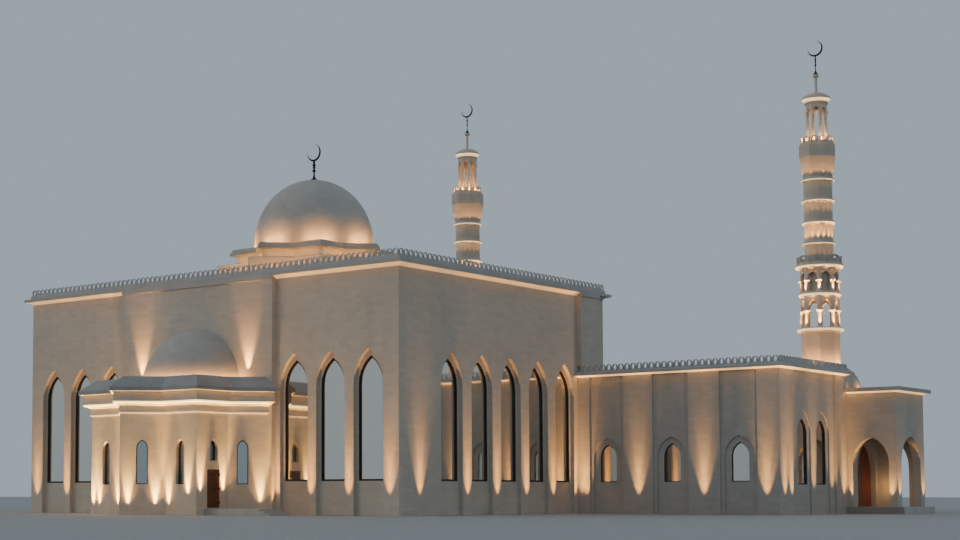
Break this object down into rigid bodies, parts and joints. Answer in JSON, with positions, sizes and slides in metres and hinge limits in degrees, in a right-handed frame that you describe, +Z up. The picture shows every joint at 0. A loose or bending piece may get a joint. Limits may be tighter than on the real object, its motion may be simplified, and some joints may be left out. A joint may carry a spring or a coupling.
{
  "type": "mosque building, 1:2 scale model",
  "caption": "Domed prayer hall with a star-shaped niche bay, lower wings with open porches, a walled court and tall round minarets, at half size.",
  "frame": {"origin": "on the ground under the centre of the main dome", "axes": "+X to the right along the front, +Y to the court behind, +Z up"},
  "size_m": [38.6, 36.4219, 21.875],
  "materials": {
    "wall_stone": "matte",
    "trim_stone": "matte",
    "coping_stone": "matte",
    "dome_stone": "matte",
    "paving_stone": "matte",
    "dark_metal": "satin",
    "door_wood": "satin",
    "dark_wood": "satin",
    "glass": "gloss"
  },
  "bodies": {
    "building": {"apse_cornice": "trim_stone", "apse_door_head": "wall_stone", "apse_floor": "paving_stone", "apse_glass": "glass", "apse_half_dome": "dome_stone", "apse_landing": "paving_stone", "apse_left_wall": "wall_stone", "apse_right_wall": "wall_stone", "apse_roof": "coping_stone", "court_floor": "paving_stone", "court_left_wall": "wall_stone", "court_rear_wall": "wall_stone", "court_right_wall": "wall_stone", "dome_drum": "coping_stone", "dome_finial": "dark_metal", "gallery_rear_wall": "wall_stone", "gallery_roof": "paving_stone", "hall_cornice": "trim_stone", "hall_floor": "paving_stone", "hall_front_glass": "glass", "hall_front_wall": "wall_stone", "hall_left_glass": "glass", "hall_left_wall": "wall_stone", "hall_parapet": "trim_stone", "hall_rear_wall": "wall_stone", "hall_right_glass": "glass", "hall_right_wall": "wall_stone", "hall_roof": "paving_stone", "left_door": "door_wood", "left_gallery_dome": "dome_stone", "left_minaret_base": "wall_stone", "left_minaret_finial": "dark_metal", "left_minaret_gallery": "wall_stone", "left_minaret_lantern": "wall_stone", "left_minaret_shaft": "wall_stone", "left_porch_floor": "paving_stone", "left_porch_walls": "wall_stone", "left_wing_end_wall": "wall_stone", "left_wing_front_wall": "wall_stone", "left_wing_glass": "glass", "main_dome": "dome_stone", "right_gallery_dome": "dome_stone", "right_minaret_base": "wall_stone", "right_minaret_finial": "dark_metal", "right_minaret_gallery": "wall_stone", "right_minaret_lantern": "wall_stone", "right_minaret_shaft": "wall_stone", "right_porch_floor": "paving_stone", "right_porch_walls": "wall_stone", "right_wing_end_wall": "wall_stone", "right_wing_front_wall": "wall_stone", "right_wing_glass": "glass", "wing_cornice": "trim_stone", "wing_floor": "paving_stone", "wing_rear_wall": "wall_stone", "wing_roof": "paving_stone"},
    "niche_door": {"apse_door": "dark_wood"},
    "gallery_door_front": {"right_door_leaf_front": "door_wood"},
    "gallery_door_rear": {"right_door_leaf_rear": "door_wood"}
  },
  "joints": [
    {"name": "niche_door_hinge", "type": "hinge", "parent": "building", "child": "niche_door", "pos_m": [2.6153, -7.97, 0.9], "axis": [0, 0, 1], "range_deg": [0, 100]},
    {"name": "gallery_door_front_hinge", "type": "hinge", "parent": "building", "child": "gallery_door_front", "pos_m": [17.0947, 10.57, 1.2], "axis": [0, 0, 1], "range_deg": [0, 90]},
    {"name": "gallery_door_rear_hinge", "type": "hinge", "parent": "building", "child": "gallery_door_rear", "pos_m": [17.0947, 12.28, 1.2], "axis": [0, 0, -1], "range_deg": [0, 90]}
  ]
}
